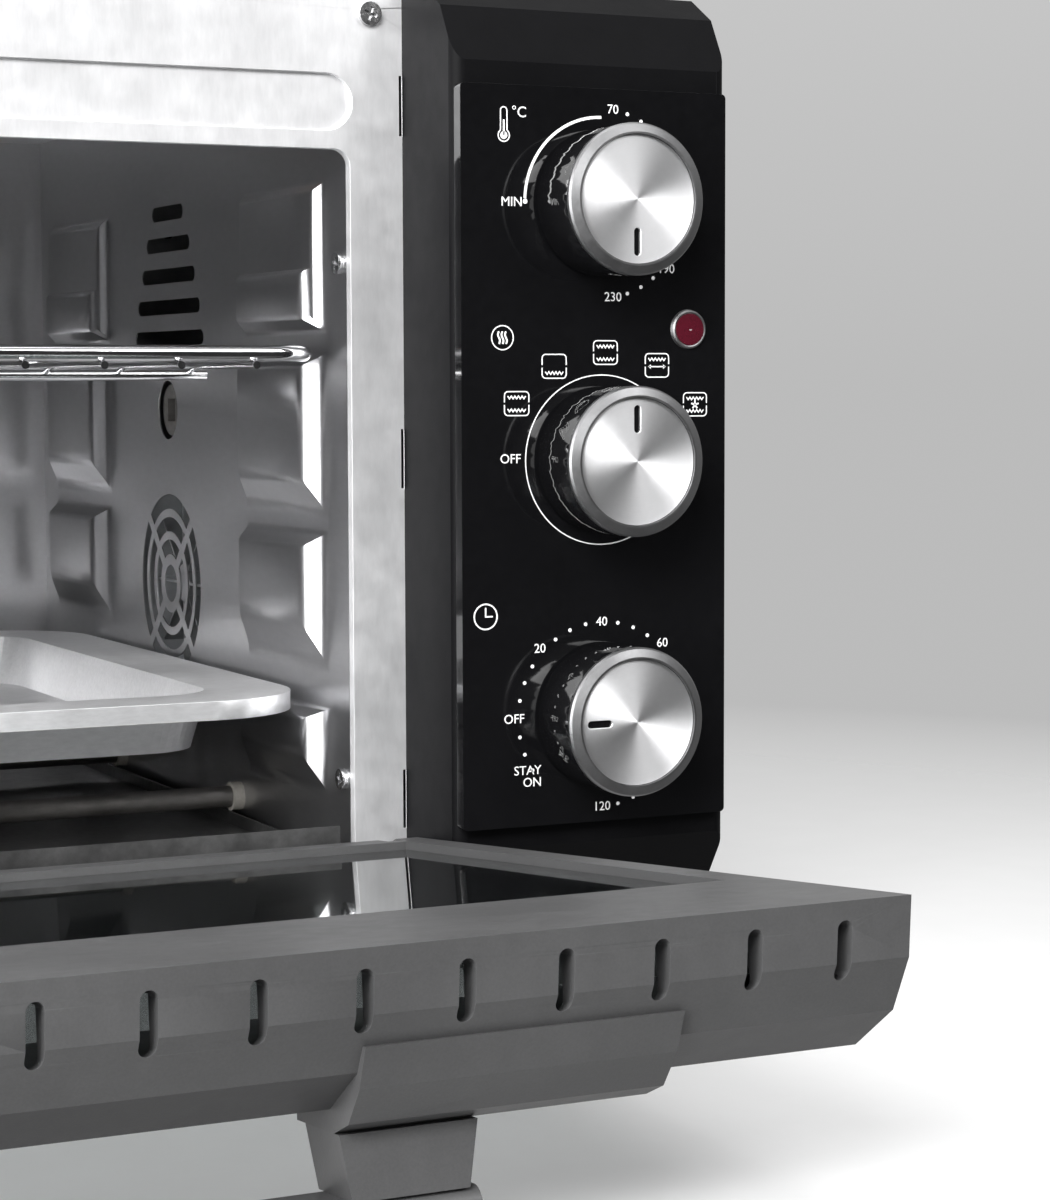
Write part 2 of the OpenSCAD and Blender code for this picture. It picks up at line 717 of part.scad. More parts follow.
// Bright ring round the lens, standing on the plate
module indicator_bezel() home() color("silver") translate([lens_x, 0, lens_z]) rotate([90, 0, 0])
    rotate_extrude() polygon([[lens_dia / 2, 0], [lens_dia / 2 + 1.3, 0], [lens_dia / 2 + 1, 0.9],
        [lens_dia / 2 + 0.5, 1.3], [lens_dia / 2, 1.1]]);

// Shallow domed lens through the plate and the housing
module indicator_lens() home() color([0.43, 0.1, 0.2]) translate([lens_x, 0, lens_z]) rotate([90, 0, 0])
    rotate_extrude() intersection() {
        translate([0, -9]) square([lens_dia / 2, 10.8]);
        translate([0, 1.8 - 30]) circle(30);
    }

// Hollow knob with a hub for its shaft
module knob_body(z) home() color([0.04, 0.04, 0.045]) translate([knob_x, -knob_gap, z]) rotate([90, 0, 0])
    rotate_extrude() polygon([[shaft_r, 0.8], [6.5, 0.8], [6.5, 17], [knob_dia / 2 - 2.5, 17],
        [knob_dia / 2 - 2.5, 0], [knob_dia / 2, 0], [knob_dia / 2, 20.8], [disc_dia / 2, 20.8],
        [disc_dia / 2, -disc_y - disc_t - knob_gap], [shaft_r, -disc_y - disc_t - knob_gap]]);

// Satin ring with a bevelled face round the disc
module knob_ring(z) home() color("gainsboro") translate([knob_x, 0, z]) rotate([90, 0, 0])
    rotate_extrude() polygon([[disc_dia / 2 + 0.1, 22], [knob_dia / 2 + 0.2, 22],
        [knob_dia / 2 + 0.2, 23.2], [knob_dia / 2 - 0.3, 24],
        [disc_dia / 2 + 0.7, -ring_y], [disc_dia / 2 + 0.1, -ring_y]]);

// Spun disc with a pointer slot; turn is the pointer's place clockwise from the top
module knob_disc(z, turn) home() color("silver") difference() {
    rod_y(knob_x, disc_y, z, disc_dia / 2, disc_t);
    translate([knob_x, disc_y - 1, z]) rotate([0, turn, 0]) translate([0, 0, 13]) rotate([-90, 0, 0])
        linear_extrude(2) rotate(90) slot(8.5, 2.3);
}

module knob_shaft(z) home() color("silver") difference() {
    rod_y(knob_x, -20, z, shaft_r, 42);
    translate([knob_x - 5, -21, z + shaft_r - 0.8]) cube([10, 17, 5]);
}

module temperature_knob() knob_body(temperature_z);
module temperature_ring() knob_ring(temperature_z);
module temperature_disc() knob_disc(temperature_z, 180);
module temperature_shaft() knob_shaft(temperature_z);
module function_knob() knob_body(function_z);
module function_ring() knob_ring(function_z);
module function_disc() knob_disc(function_z, 0);
module function_shaft() knob_shaft(function_z);
module timer_knob() knob_body(timer_z);
module timer_ring() knob_ring(timer_z);
module timer_disc() knob_disc(timer_z, -90);
module timer_shaft() knob_shaft(timer_z);

// ---- Which sub-part is drawn ----

front_frame();
cavity_ceiling();
cavity_floor();
cavity_left_wall();
cavity_right_wall();
cavity_back_wall();
cabinet_shell();
back_panel();
base_pan();
control_housing();
control_plate();
indicator_bezel();
indicator_lens();
thermostat_body();
thermostat_bulb();
selector_switch();
timer_body();
fan_shroud();
fan_motor();
fan_impeller();
rotisserie_motor();
rotisserie_socket();
upper_heating_elements();
lower_heating_elements();
element_insulators();
element_terminals();
crumb_tray();
feet();
foot_pads();
rear_spacers();
cord_gland();
terminal_block();
thermal_cutout();
hinge_lugs();
hinge_pins();
frame_screws();
cavity_screws();
back_screws();
foot_screws();
wire_rack();
baking_tray();
door_frame();
door_inner_glass();
door_outer_glass();
handle_posts();
handle_grip();
handle_screws();
temperature_knob();
temperature_ring();
temperature_disc();
temperature_shaft();
function_knob();
function_ring();
function_disc();
function_shaft();
timer_knob();
timer_ring();
timer_disc();
timer_shaft();
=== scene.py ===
"""Looks of the counter-top toaster oven: finishes, printed dials, studio and camera."""

import math

import bmesh
import bpy
from mathutils import Euler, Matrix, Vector


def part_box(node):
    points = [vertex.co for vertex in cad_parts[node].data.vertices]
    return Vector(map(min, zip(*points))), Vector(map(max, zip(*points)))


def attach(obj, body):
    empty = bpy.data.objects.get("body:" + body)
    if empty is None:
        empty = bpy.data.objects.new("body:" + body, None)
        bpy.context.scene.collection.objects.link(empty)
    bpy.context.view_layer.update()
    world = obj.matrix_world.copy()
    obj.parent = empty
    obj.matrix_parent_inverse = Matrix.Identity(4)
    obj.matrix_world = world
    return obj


bl_info = {
    "name": "Toaster oven finishes",
    "version": (1, 0, 0),
    "blender": (4, 5, 0),
    "location": "View3D > Sidebar > Oven",
    "description": "Finishes a toaster oven, prints its dials and sets up a studio",
    "category": "Object",
}

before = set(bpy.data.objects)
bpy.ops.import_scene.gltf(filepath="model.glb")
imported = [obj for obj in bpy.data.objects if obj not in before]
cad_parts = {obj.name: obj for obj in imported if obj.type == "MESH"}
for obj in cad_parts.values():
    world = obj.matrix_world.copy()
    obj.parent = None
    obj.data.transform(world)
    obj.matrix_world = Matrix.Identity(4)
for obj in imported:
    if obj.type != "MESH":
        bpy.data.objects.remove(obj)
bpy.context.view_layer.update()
KNOBS = ("temperature", "function", "timer")

JOIN_DISTANCE = 0.00001
BEVELLED_EDGE = math.radians(35)
SHARP_EDGE = math.radians(38)
FLOOR_SIZE = 30.0
FLOOR_FADE = (0.30, 0.90)
DARK_DIRECTION = Vector((0.42, -0.90, -0.10)).normalized()
# Each light's place from the front frame's middle, its width and height, and the setting of its power
LIGHTS = (
    ("side_light", (-1.75, -0.72, 0.25), 1.5, 1.5, "side_power"),
    ("front_light", (-1.0, -1.45, 1.1), 1.0, 0.8, "front_power"),
    ("top_light", (0.1, -0.1, 1.6), 1.4, 1.0, "top_power"),
    ("knob_light", (0.85, -1.25, 1.0), 0.7, 0.7, "knob_power"),
)


def middle(node):
    """Centre of a node's box."""
    low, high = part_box(node)
    return (Vector(low) + Vector(high)) / 2


PLATE_LOW = Vector(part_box("control_plate")[0])
PLATE_FACE = PLATE_LOW.y


# ---- Settings ----


class OvenStageSettings(bpy.types.PropertyGroup):
    """Camera, floor and lights"""

    camera_from_plate: bpy.props.FloatVectorProperty(
        name="Camera place",
        description="Camera, measured from the control plate's lower left corner",
        default=(-0.3641, -0.7910, 0.1385),
        subtype="TRANSLATION",
        unit="LENGTH",
    )
    camera_turn: bpy.props.FloatVectorProperty(
        name="Camera turn",
        description="Camera's rotation about X, Y and Z",
        default=(math.radians(85.63), math.radians(0.174), math.radians(-26.0)),
        subtype="EULER",
    )
    lens: bpy.props.FloatProperty(
        name="Lens",
        description="Focal length in millimetres on a 36 mm sensor",
        default=85.0,
        min=20.0,
    )
    floor_colour: bpy.props.FloatVectorProperty(
        name="Floor", description="Colour of the floor", default=(0.48, 0.48, 0.48), subtype="COLOR"
    )
    # Painted light: the floor's emission is a constant glow that lifts the floor's shadows; no light
    # comes through the floor from below.
    floor_glow: bpy.props.FloatProperty(
        name="Floor glow",
        description="Light that the translucent floor passes from below",
        default=0.30,
        min=0.0,
    )
    side_power: bpy.props.FloatProperty(
        name="Side light",
        description="Power of the large soft light on the left",
        default=62.0,
        unit="POWER",
    )
    front_power: bpy.props.FloatProperty(
        name="Front light",
        description="Power of the soft light above the front left",
        default=60.0,
        unit="POWER",
    )
    top_power: bpy.props.FloatProperty(
        name="Top light", description="Power of the soft light overhead", default=12.0, unit="POWER"
    )
    knob_power: bpy.props.FloatProperty(
        name="Knob light",
        description="Power of the soft light above the front right",
        default=9.5,
        unit="POWER",
    )
    backdrop: bpy.props.FloatProperty(
        name="Backdrop", description="Brightness of the surroundings at eye level", default=0.50, min=0.0
    )
    sky: bpy.props.FloatProperty(
        name="Sky", description="Brightness of the surroundings overhead", default=0.62, min=0.0
    )
    flag: bpy.props.FloatProperty(
        name="Flag", description="Brightness of the dark area at the front right", default=0.03, min=0.0
    )


class OvenFinishSettings(bpy.types.PropertyGroup):
    """Colours of the finishes"""

    plated_steel: bpy.props.FloatVectorProperty(
        name="Plated steel", description="Front frame", default=(0.80, 0.80, 0.81), subtype="COLOR"
    )
    cavity_steel: bpy.props.FloatVectorProperty(
        name="Cavity steel", description="Cavity walls", default=(0.51, 0.51, 0.52), subtype="COLOR"
    )
    # Black plastic with painted light: lighter than the housing's same black, to stand in for the front
    # light's sheen on the door and handle.
    satin_black: bpy.props.FloatVectorProperty(
        name="Satin black", description="Door and handle", default=(0.060, 0.060, 0.061), subtype="COLOR"
    )
    # Black plastic with painted shade: darker than the door's same black, to hold down the light falling
    # on the housing's left side.
    housing_black: bpy.props.FloatVectorProperty(
        name="Housing black",
        description="Control housing",
        default=(0.004, 0.004, 0.0045),
        subtype="COLOR",
    )
    gloss_black: bpy.props.FloatVectorProperty(
        name="Gloss black",
        description="Control plate and knobs",
        default=(0.004, 0.004, 0.0045),
        subtype="COLOR",
    )
    cabinet_black: bpy.props.FloatVectorProperty(
        name="Cabinet black",
        description="Powder coat of the cabinet",
        default=(0.020, 0.020, 0.022),
        subtype="COLOR",
    )
    lens_red: bpy.props.FloatVectorProperty(
        name="Lens red",
        description="Indicator lens",
        default=(0.072, 0.0060, 0.0135),
        subtype="COLOR",
    )
    glass_tint: bpy.props.FloatVectorProperty(
        name="Glass tint", description="Door glass", default=(0.50, 0.54, 0.54), subtype="COLOR"
    )
    print_white: bpy.props.FloatVectorProperty(
        name="Print",
        description="Printed lettering and symbols",
        default=(0.86, 0.86, 0.86),
        subtype="COLOR",
    )


class OvenPrintSettings(bpy.types.PropertyGroup):
    """Sizes of the printed dials"""

    letter: bpy.props.FloatProperty(
        name="Letter height", description="Height of the lettering", default=0.0041, unit="LENGTH"
    )
    line: bpy.props.FloatProperty(
        name="Line", description="Width of the thin lines", default=0.00035, unit="LENGTH"
    )
    thick_line: bpy.props.FloatProperty(
        name="Thick line", description="Width of the warm-up arc", default=0.0009, unit="LENGTH"
    )
    ring: bpy.props.FloatProperty(
        name="Ring radius",
        description="Radius of the rings round the knobs",
        default=0.0266,
        unit="LENGTH",
    )
    scale: bpy.props.FloatProperty(
        name="Scale radius",
        description="Radius of the scales' dots and numbers",
        default=0.0294,
        unit="LENGTH",
    )
    dot: bpy.props.FloatProperty(
        name="Dot", description="Radius of a scale's dot", default=0.0006, unit="LENGTH"
    )
    ink: bpy.props.FloatProperty(
        name="Ink", description="Thickness of the ink", default=0.00006, unit="LENGTH"
    )


# ---- Shared shader groups ----


def new_group(name, inputs, outputs):
    """A shader node group with named inputs (name, default) and outputs (name, kind)."""
    group = bpy.data.node_groups.new(name, "ShaderNodeTree")
    for label, default in inputs:
        socket = group.interface.new_socket(label, in_out="INPUT", socket_type="NodeSocketFloat")
        socket.default_value = default
    for label, kind in outputs:
        group.interface.new_socket(label, in_out="OUTPUT", socket_type=kind)
    return group, group.nodes.new("NodeGroupInput"), group.nodes.new("NodeGroupOutput")


def add_node(tree, kind, links=None, **values):
    """Adds a node, sets its properties and input values, and links named inputs."""
    node = tree.nodes.new(kind)
    for key, value in values.items():
        if hasattr(node, key):
            setattr(node, key, value)
        else:
            node.inputs[key.replace("_", " ").title()].default_value = value
    for key, source in (links or {}).items():
        tree.links.new(source, node.inputs[key])
    return node


def maths(tree, operation, first, second):
    """A Math node on two sockets or numbers."""
    node = tree.nodes.new("ShaderNodeMath")
    node.operation = operation
    for socket, value in zip(node.inputs, (first, second)):
        if isinstance(value, (int, float)):
            socket.default_value = value
        else:
            tree.links.new(value, socket)
    return node.outputs[0]


def ramp(tree, source, low, high, to_low, to_high):
    """Maps a value's range onto another, clamped."""
    node = tree.nodes.new("ShaderNodeMapRange")
    node.clamp = True
    tree.links.new(source, node.inputs["Value"])
    limits = {"From Min": low, "From Max": high, "To Min": to_low, "To Max": to_high}
    for label, value in limits.items():
        if isinstance(value, (int, float)):
            node.inputs[label].default_value = value
        else:
            tree.links.new(value, node.inputs[label])
    return node.outputs["Result"]


def make_smudge_group():
    """Cloudy handling marks: a mask and a roughness that varies about its middle."""
    group, given, out = new_group(
        "Handling marks",
        [("Scale", 30.0), ("Roughness", 0.4), ("Spread", 0.1)],
        [("Mask", "NodeSocketFloat"), ("Roughness", "NodeSocketFloat")],
    )
    place = add_node(group, "ShaderNodeTexCoord").outputs["Object"]
    broad_scale = given.outputs["Scale"]
    broad = add_node(group, "ShaderNodeTexNoise", {"Vector": place, "Scale": broad_scale}, detail=5.0)
    finer_scale = maths(group, "MULTIPLY", broad_scale, 9.0)
    finer = add_node(group, "ShaderNodeTexNoise", {"Vector": place, "Scale": finer_scale}, detail=3.0)
    patches = maths(group, "ADD", finer.outputs["Fac"], 0.5)
    both = maths(group, "MULTIPLY", broad.outputs["Fac"], patches)
    mask = ramp(group, both, 0.32, 0.68, 0.0, 1.0)
    swing = maths(group, "MULTIPLY", maths(group, "SUBTRACT", mask, 0.5), given.outputs["Spread"])
    group.links.new(mask, out.inputs["Mask"])
    group.links.new(maths(group, "ADD", given.outputs["Roughness"], swing), out.inputs["Roughness"])
    return group


def make_grain_group():
    """Fine grain, stretched along each axis by its own factor: a height and a colour mask."""
    group, given, out = new_group(
        "Fine grain",
        [("Scale", 900.0), ("Stretch X", 1.0), ("Stretch Y", 1.0), ("Stretch Z", 1.0)],
        [("Height", "NodeSocketFloat"), ("Mask", "NodeSocketFloat")],
    )
    place = add_node(group, "ShaderNodeTexCoord").outputs["Object"]
    stretch = add_node(
        group,
        "ShaderNodeCombineXYZ",
        {axis: given.outputs["Stretch " + axis] for axis in "XYZ"},
    )
    scaled = group.nodes.new("ShaderNodeVectorMath")
    scaled.operation = "MULTIPLY"
    group.links.new(place, scaled.inputs[0])
    group.links.new(stretch.outputs[0], scaled.inputs[1])
    noise = add_node(
        group,
        "ShaderNodeTexNoise",
        {"Vector": scaled.outputs[0], "Scale": given.outputs["Scale"]},
        detail=4.0,
        roughness=0.6,
    )
    group.links.new(noise.outputs["Fac"], out.inputs["Height"])
    group.links.new(ramp(group, noise.outputs["Fac"], 0.35, 0.65, 0.0, 1.0), out.inputs["Mask"])
    return group


def make_spun_group():
    """Turned rings about the middle of a disc that faces along Y: a height and a mask."""
    group, given, out = new_group(
        "Spun rings",
        [("Rings", 60.0)],
        [("Height", "NodeSocketFloat"), ("Mask", "NodeSocketFloat")],
    )
    place = add_node(group, "ShaderNodeTexCoord").outputs["Generated"]
    parts = add_node(group, "ShaderNodeSeparateXYZ", {"Vector": place})
    across = maths(group, "SUBTRACT", parts.outputs["X"], 0.5)
    up = maths(group, "SUBTRACT", parts.outputs["Z"], 0.5)
    squares = [maths(group, "POWER", side, 2.0) for side in (across, up)]
    radius = maths(group, "SQRT", maths(group, "ADD", *squares), 0.0)
    along = maths(group, "MULTIPLY", radius, given.outputs["Rings"])
    line = add_node(group, "ShaderNodeCombineXYZ", {"X": along})
    noise = add_node(group, "ShaderNodeTexNoise", {"Vector": line.outputs[0]}, scale=4.0, detail=4.0)
    group.links.new(noise.outputs["Fac"], out.inputs["Height"])
    group.links.new(ramp(group, noise.outputs["Fac"], 0.35, 0.65, 0.0, 1.0), out.inputs["Mask"])
    return group


GROUPS = {}


def shared(name):
    """Each shared group, built once."""
    makers = {"marks": make_smudge_group, "grain": make_grain_group, "spun": make_spun_group}
    if name not in GROUPS:
        GROUPS[name] = makers[name]()
    return GROUPS[name]


def place_group(tree, name, **values):
    """Places a shared group in a material with its own values."""
    node = tree.nodes.new("ShaderNodeGroup")
    node.node_tree = shared(name)
    for key, value in values.items():
        node.inputs[key.replace("_", " ").title()].default_value = value
    return node


# ---- Materials ----


def finish_material(
    name, colour, roughness, metallic=0.0, marks=(30.0, 0.1), tone=0.12,
    grain=(900.0, 1.0, 1.0, 1.0), bump=0.05, bump_depth=0.0002, grain_group="grain", **fixed,
):
    """A Principled material whose colour, roughness and surface vary with marks and grain.

    marks holds the marks' scale and how far they swing the roughness, tone how far the colour
    varies, and grain its scale and its stretch along X, Y and Z, or the number of spun rings.
    """
    material = bpy.data.materials.new(name)
    material.use_nodes = True
    tree = material.node_tree
    shader = tree.nodes["Principled BSDF"]
    shader.inputs["Metallic"].default_value = metallic
    for key, value in fixed.items():
        shader.inputs[key.replace("_", " ").title().replace("Ior", "IOR")].default_value = value
    smudge = place_group(tree, "marks", scale=marks[0], roughness=roughness, spread=marks[1])
    if grain_group == "grain":
        scale, stretch_x, stretch_y, stretch_z = grain
        texture = place_group(
            tree, "grain", scale=scale, stretch_x=stretch_x, stretch_y=stretch_y, stretch_z=stretch_z
        )
    else:
        texture = place_group(tree, "spun", rings=grain[0])
    blend = tree.nodes.new("ShaderNodeMix")
    blend.data_type = "RGBA"
    low = tuple(channel * (1 - tone) for channel in colour)
    high = tuple(min(1.0, channel * (1 + tone)) for channel in colour)
    blend.inputs["A"].default_value = (*low, 1)
    blend.inputs["B"].default_value = (*high, 1)
    halves = [maths(tree, "MULTIPLY", node.outputs["Mask"], 0.5) for node in (smudge, texture)]
    mixed = maths(tree, "ADD", *halves)
    tree.links.new(mixed, blend.inputs["Factor"])
    tree.links.new(blend.outputs["Result"], shader.inputs["Base Color"])
    tree.links.new(smudge.outputs["Roughness"], shader.inputs["Roughness"])
    relief = tree.nodes.new("ShaderNodeBump")
    relief.inputs["Strength"].default_value = bump
    relief.inputs["Distance"].default_value = bump_depth
    tree.links.new(texture.outputs["Height"], relief.inputs["Height"])
    tree.links.new(relief.outputs["Normal"], shader.inputs["Normal"])
    return material


def radial_tangent(material):
    """Makes a material's stretched highlights run round the Y axis."""
    tree = material.node_tree
    tangent = tree.nodes.new("ShaderNodeTangent")
    tangent.direction_type = "RADIAL"
    tangent.axis = "Y"
    tree.links.new(tangent.outputs[0], tree.nodes["Principled BSDF"].inputs["Tangent"])
    return material


def put_on(material, *nodes):
    """Gives CAD nodes a material."""
    for name in nodes:
        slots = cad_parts[name].data.materials
        slots.clear()
        slots.append(material)


def soften(width, *nodes, segments=2):
    """Rounds the sharp edges of CAD nodes with modifiers."""
    for name in nodes:
        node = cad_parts[name]
        weld = node.modifiers.new("join_corners", "WELD")
        weld.merge_threshold = JOIN_DISTANCE
        bevel = node.modifiers.new("soft_edges", "BEVEL")
        bevel.width = width
        bevel.segments = segments
        bevel.limit_method = "ANGLE"
        bevel.angle_limit = BEVELLED_EDGE
        bevel.use_clamp_overlap = True
        bevel.harden_normals = True


def smooth_facets(*nodes):
    """Shades the narrow facets of CAD nodes as one curve, and keeps the sharp edges."""
    tree = bpy.data.node_groups.new("smooth_facets", "GeometryNodeTree")
    tree.interface.new_socket("Geometry", in_out="INPUT", socket_type="NodeSocketGeometry")
    tree.interface.new_socket("Geometry", in_out="OUTPUT", socket_type="NodeSocketGeometry")
    mesh = tree.nodes.new("NodeGroupInput").outputs["Geometry"]
    joined = tree.nodes.new("GeometryNodeMergeByDistance")
    joined.inputs["Distance"].default_value = JOIN_DISTANCE
    tree.links.new(mesh, joined.inputs["Geometry"])
    sharp = tree.nodes.new("FunctionNodeCompare")
    sharp.operation = "GREATER_THAN"
    sharp.inputs["B"].default_value = SHARP_EDGE
    angle = tree.nodes.new("GeometryNodeInputMeshEdgeAngle").outputs["Unsigned Angle"]
    tree.links.new(angle, sharp.inputs["A"])
    shade = tree.nodes.new("GeometryNodeSetMeshNormal")
    shade.mode = "SHARPNESS"
    shade.inputs["Remove Custom"].default_value = True
    tree.links.new(joined.outputs["Geometry"], shade.inputs["Mesh"])
    tree.links.new(sharp.outputs["Result"], shade.inputs["Edge Sharpness"])
    result = tree.nodes.new("NodeGroupOutput")
    tree.links.new(shade.outputs["Mesh"], result.inputs["Geometry"])
    for name in nodes:
        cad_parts[name].modifiers.new("smooth_facets", "NODES").node_group = tree


# ---- Mesh helpers for the printed pieces ----


def add_piece(name, mesh, material, body):
    """Links a mesh as a piece that rides on a CAD body."""
    piece = bpy.data.objects.new(name, mesh)
    mesh.materials.append(material)
    bpy.context.scene.collection.objects.link(piece)
    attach(piece, body)
    return piece


class Print:
    """White ink on the control plate, drawn in (x, z) about a point of the plate."""

    def __init__(self, centre, ink):
        self.bm = bmesh.new()
        self.centre = Vector(centre)
        self.ink = ink

    def place(self, x, z, height):
        """A point of the drawing, at a height above the plate."""
        return Vector((self.centre.x + x, PLATE_FACE - height, self.centre.z + z))

    def face(self, points):
        """One closed flat patch of ink with its own thickness."""
        front = [self.bm.verts.new(self.place(x, z, self.ink)) for x, z in points]
        back = [self.bm.verts.new((v.co.x, PLATE_FACE, v.co.z)) for v in front]
        self.bm.faces.new(front)
        self.bm.faces.new(back[::-1])
        for i in range(len(front)):
            j = (i + 1) % len(front)
            self.bm.faces.new((front[j], front[i], back[i], back[j]))

    def dot(self, x, z, radius, sides=16):
        """A filled circle."""
        turns = [2 * math.pi * i / sides for i in range(sides)]
        self.face([(x + radius * math.cos(t), z + radius * math.sin(t)) for t in turns])

    def line(self, points, width, closed=False):
        """A stroke through points, mitred at its corners."""
        points = [Vector(p) for p in points]
        count = len(points)
        sides = []
        for i, point in enumerate(points):
            before = points[i - 1] if i or closed else None
            after = points[(i + 1) % count] if i < count - 1 or closed else None
            way_in = (point - before).normalized() if before is not None else None
            way_out = (after - point).normalized() if after is not None else None
            way = (way_in or way_out) + (way_out or way_in)
            way.normalize()
            across = Vector((-way.y, way.x)) * width / 2
            lean = across.normalized().dot(Vector((-(way_in or way_out).y, (way_in or way_out).x)))
            across /= max(lean, 0.5)
            sides.append((point + across, point - across))
        last = count if closed else count - 1
        for i in range(last):
            (a, b), (c, d) = sides[i], sides[(i + 1) % count]
            self.face([tuple(a), tuple(b), tuple(d), tuple(c)])

    def arc(self, radius, start, end, width, x=0.0, z=0.0):
        """A stroke along a circle, from start to end in degrees clockwise from the top."""
        steps = max(4, int(abs(end - start) / 4))
        closed = abs(end - start) >= 360
        count = steps if closed else steps + 1
        turns = [math.radians(start + (end - start) * i / steps) for i in range(count)]
        points = [(x + radius * math.sin(t), z + radius * math.cos(t)) for t in turns]
        self.line(points, width, closed)

    def write(self, text, x, z, height):
        """Letters centred on (x, z)."""
        curve = bpy.data.curves.new("letters", "FONT")
        curve.body = text
        curve.size = height
        curve.align_x = "CENTER"
        curve.align_y = "CENTER"
        curve.resolution_u = 3
        letters = bpy.data.objects.new("letters", curve)
        bpy.context.scene.collection.objects.link(letters)
        bpy.context.view_layer.update()
        mesh = letters.to_mesh()
        flat = bmesh.new()
        flat.from_mesh(mesh)
        bmesh.ops.remove_doubles(flat, verts=flat.verts, dist=height * 0.0005)
        solid = bmesh.ops.extrude_face_region(flat, geom=list(flat.faces))["geom"]
        for vert in flat.verts:
            vert.co.z = 0.0
        for part in solid:
            if isinstance(part, bmesh.types.BMVert):
                part.co.z = self.ink
        done = bpy.data.meshes.new("letters")
        flat.to_mesh(done)
        flat.free()
        letters.to_mesh_clear()
        bpy.data.objects.remove(letters)
        start = len(self.bm.verts)
        self.bm.from_mesh(done)
        bpy.data.meshes.remove(done)
        self.bm.verts.ensure_lookup_table()
        for vert in self.bm.verts[start:]:
            vert.co = self.place(x + vert.co.x, z + vert.co.y, vert.co.z)

    def finish(self, name, material):
        """Closes the mesh into one piece on the oven."""
        bmesh.ops.recalc_face_normals(self.bm, faces=self.bm.faces)
        mesh = bpy.data.meshes.new(name)
        self.bm.to_mesh(mesh)
        self.bm.free()
        piece = add_piece(name, mesh, material, "oven")
        return piece


def on_circle(radius, degrees):
    """Point on a circle, in degrees clockwise from the top."""
    turn = math.radians(degrees)
    return radius * math.sin(turn), radius * math.cos(turn)


def ink_material():
    """White screen-printing ink, made once."""
    if "white_ink" in bpy.data.materials:
        return bpy.data.materials["white_ink"]
    colour = bpy.context.scene.oven_finish.print_white
    return finish_material(
        "white_ink", colour, 0.45, marks=(60.0, 0.1), tone=0.06, bump=0.08, bump_depth=0.00002
    )


# ---- Operators: stage ----


class OVEN_OT_camera(bpy.types.Operator):
    """Place the camera"""

    bl_idname = "oven.camera"
    bl_label = "Camera"

    def execute(self, context):
        settings = context.scene.oven_stage
        data = bpy.data.cameras.new("camera")
        data.sensor_width = 36.0
        data.lens = settings.lens
        data.clip_start = 0.01
        data.clip_end = 100.0
        camera = bpy.data.objects.new("camera", data)
        corner = Vector((PLATE_LOW.x, PLATE_FACE, PLATE_LOW.z))
        camera.location = corner + Vector(settings.camera_from_plate)
        camera.rotation_euler = Euler(settings.camera_turn, "XYZ")
        context.scene.collection.objects.link(camera)
        context.scene.camera = camera
        return {"FINISHED"}


class OVEN_OT_stage(bpy.types.Operator):
    """Make the floor, the surroundings and the soft lights"""

    bl_idname = "oven.stage"
    bl_label = "Floor and lights"

    def execute(self, context):
        settings = context.scene.oven_stage
        self.make_floor(context, settings)
        self.make_surroundings(context, settings)
        target = middle("front_frame")
        for name, place, width, height, power in LIGHTS:
            energy = getattr(settings, power)
            self.make_light(context, name, target, Vector(place), width, height, energy)
        return {"FINISHED"}

    def make_floor(self, context, settings):
        """A plain floor with a painted glow that lifts its shadows, which fades into the surroundings
        away from the oven.
        """
        bpy.ops.mesh.primitive_plane_add(size=FLOOR_SIZE, location=(0, 0, 0))
        floor = context.object
        floor.name = "floor"
        # The emission strength is painted light: a constant glow that lifts the shadows on the floor.
        material = finish_material(
            "pale_floor", settings.floor_colour, 0.6, marks=(1.5, 0.1), tone=0.03, bump=0.02,
            grain=(40.0, 1, 1, 1), emission_strength=settings.floor_glow,
        )
        tree = material.node_tree
        shader = tree.nodes["Principled BSDF"]
        shader.inputs["Emission Color"].default_value = (1, 1, 1, 1)
        place = add_node(tree, "ShaderNodeTexCoord").outputs["Object"]
        away = tree.nodes.new("ShaderNodeVectorMath")
        away.operation = "LENGTH"
        tree.links.new(place, away.inputs[0])
        fade = ramp(tree, away.outputs["Value"], *FLOOR_FADE, 1.0, 0.0)
        tree.links.new(fade, shader.inputs["Alpha"])
        floor.data.materials.append(material)
        floor.visible_glossy = False

    def make_surroundings(self, context, settings):
        """Pale surroundings, with a dark area at the front right that only reflections show."""
        context.scene.view_settings.view_transform = "Standard"
        world = bpy.data.worlds.new("studio")
        context.scene.world = world
        world.use_nodes = True
        tree = world.node_tree
        place = add_node(tree, "ShaderNodeTexCoord").outputs["Generated"]
        parts = add_node(tree, "ShaderNodeSeparateXYZ", {"Vector": place})
        pale = ramp(tree, parts.outputs["Z"], 0.0, 0.25, settings.backdrop, settings.sky)
        toward = tree.nodes.new("ShaderNodeVectorMath")
        toward.operation = "DOT_PRODUCT"
        tree.links.new(place, toward.inputs[0])
        toward.inputs[1].default_value = DARK_DIRECTION
        seen = add_node(tree, "ShaderNodeLightPath").outputs["Is Camera Ray"]
        unseen = maths(tree, "SUBTRACT", 1.0, seen)
        hidden_flag = maths(tree, "MULTIPLY", toward.outputs["Value"], unseen)
        level = ramp(tree, hidden_flag, 0.35, 0.85, pale, settings.flag)
        tree.links.new(level, tree.nodes["Background"].inputs["Color"])

    def make_light(self, context, name, target, offset, width, height, power):
        """One large rectangular soft light that looks at the target."""
        data = bpy.data.lights.new(name, "AREA")
        data.shape = "RECTANGLE"
        data.size = width
        data.size_y = height
        data.energy = power
        light = bpy.data.objects.new(name, data)
        light.location = target + offset
        light.rotation_euler = (-offset).to_track_quat("-Z", "Y").to_euler()
        context.scene.collection.objects.link(light)


# ---- Operators: finishes ----


